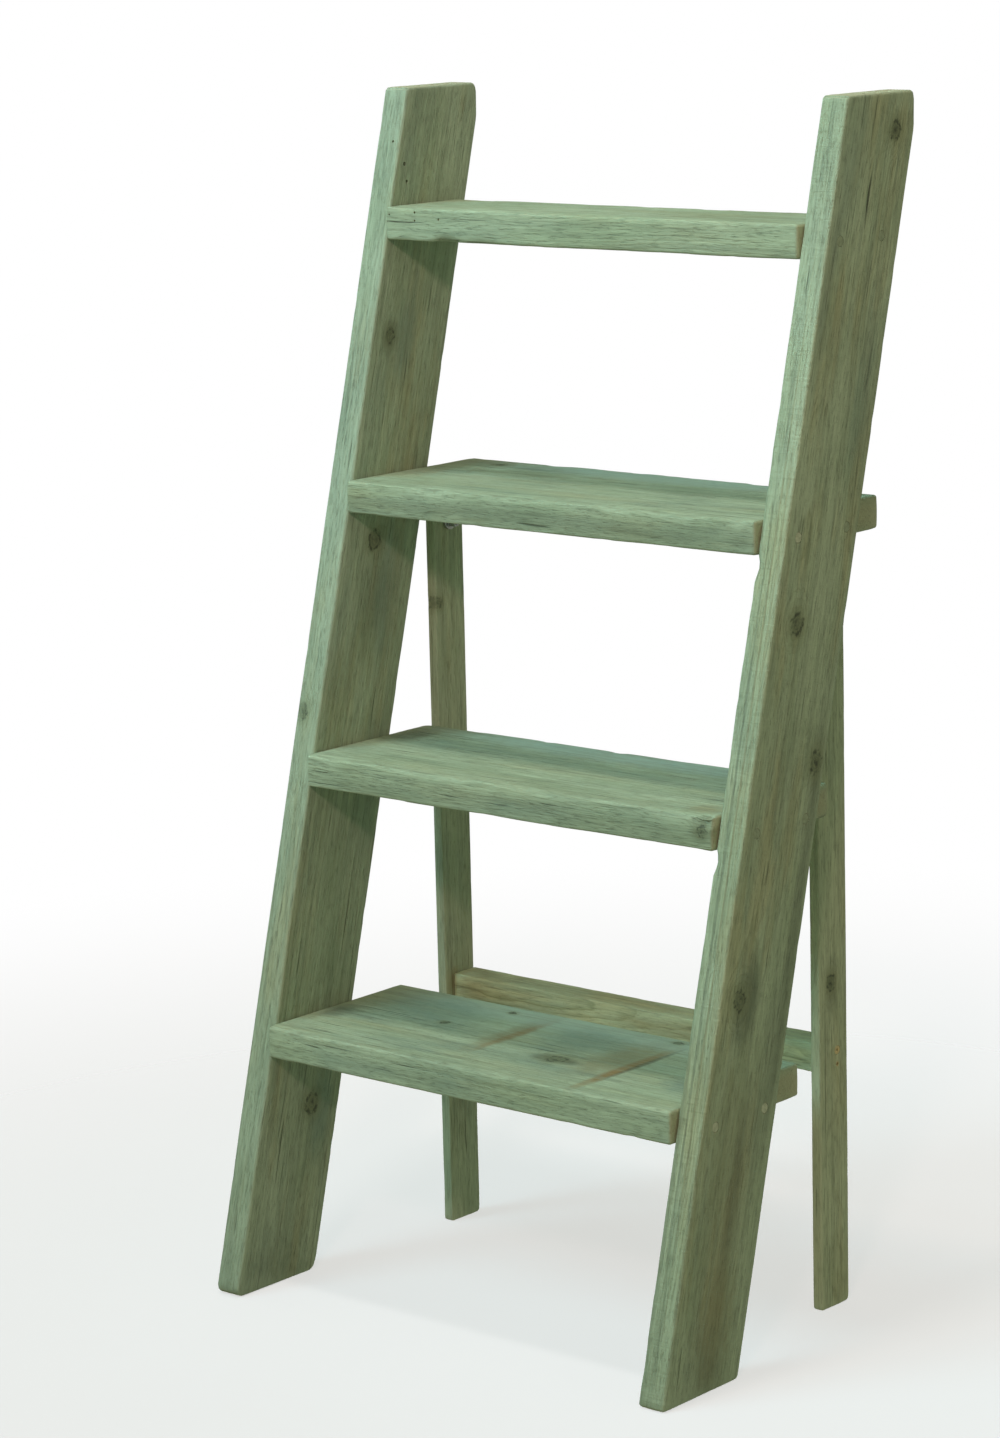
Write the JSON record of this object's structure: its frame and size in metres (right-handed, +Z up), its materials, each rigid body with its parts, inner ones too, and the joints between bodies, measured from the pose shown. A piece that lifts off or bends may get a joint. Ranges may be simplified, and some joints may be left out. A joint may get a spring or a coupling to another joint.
{
  "type": "ladder shelf",
  "caption": "Free-standing wooden ladder shelf: leaning side boards, level shelves of growing depth and a hinged rear support frame.",
  "frame": {"origin": "centre of the bounding box at floor level, with all four feet on Z = 0", "axes": "+Z up, -Y is the front that the shelves are used from, +X is to the right as seen from the front"},
  "size_m": [0.564, 0.411, 1.17],
  "materials": {
    "board_wood": "sawn and sanded softwood, weathered, green tinted, matt",
    "plug_wood": "sanded softwood plug, end grain up, matt",
    "zinc_steel": "bright zinc plated steel",
    "yellow_zinc": "yellow zinc plated screw steel"
  },
  "bodies": {
    "ladder": {"left_stile": "board_wood", "right_stile": "board_wood", "shelf_1": "board_wood", "shelf_2": "board_wood", "shelf_3": "board_wood", "shelf_4": "board_wood", "shelf_1_left_front_screw": "yellow_zinc", "shelf_1_left_rear_screw": "yellow_zinc", "shelf_1_right_front_screw": "yellow_zinc", "shelf_1_right_rear_screw": "yellow_zinc", "shelf_2_left_front_screw": "yellow_zinc", "shelf_2_left_rear_screw": "yellow_zinc", "shelf_2_right_front_screw": "yellow_zinc", "shelf_2_right_rear_screw": "yellow_zinc", "shelf_3_left_front_screw": "yellow_zinc", "shelf_3_left_rear_screw": "yellow_zinc", "shelf_3_right_front_screw": "yellow_zinc", "shelf_3_right_rear_screw": "yellow_zinc", "shelf_4_left_front_screw": "yellow_zinc", "shelf_4_left_rear_screw": "yellow_zinc", "shelf_4_right_front_screw": "yellow_zinc", "shelf_4_right_rear_screw": "yellow_zinc", "shelf_1_left_front_plug": "plug_wood", "shelf_1_left_rear_plug": "plug_wood", "shelf_1_right_front_plug": "plug_wood", "shelf_1_right_rear_plug": "plug_wood", "shelf_2_left_front_plug": "plug_wood", "shelf_2_left_rear_plug": "plug_wood", "shelf_2_right_front_plug": "plug_wood", "shelf_2_right_rear_plug": "plug_wood", "shelf_3_left_front_plug": "plug_wood", "shelf_3_left_rear_plug": "plug_wood", "shelf_3_right_front_plug": "plug_wood", "shelf_3_right_rear_plug": "plug_wood", "shelf_4_left_front_plug": "plug_wood", "shelf_4_left_rear_plug": "plug_wood", "shelf_4_right_front_plug": "plug_wood", "shelf_4_right_rear_plug": "plug_wood", "left_pivot_bracket": "zinc_steel", "right_pivot_bracket": "zinc_steel", "bracket_left_outer_screw": "yellow_zinc", "bracket_left_inner_screw": "yellow_zinc", "bracket_right_outer_screw": "yellow_zinc", "bracket_right_inner_screw": "yellow_zinc"},
    "rear_frame": {"left_rear_leg": "board_wood", "right_rear_leg": "board_wood", "rear_rail": "board_wood", "rail_left_lower_screw": "yellow_zinc", "rail_left_upper_screw": "yellow_zinc", "rail_right_lower_screw": "yellow_zinc", "rail_right_upper_screw": "yellow_zinc", "left_pivot_bolt": "zinc_steel", "left_pivot_washer": "zinc_steel", "left_pivot_nut": "zinc_steel", "right_pivot_bolt": "zinc_steel", "right_pivot_washer": "zinc_steel", "right_pivot_nut": "zinc_steel"}
  },
  "joints": [
    {"name": "rear_frame_hinge", "type": "hinge", "parent": "ladder", "child": "rear_frame", "pos_m": [-0.0075, 0.1285, 0.7348], "axis": [1, 0, 0], "range_deg": [0, 90]}
  ]
}
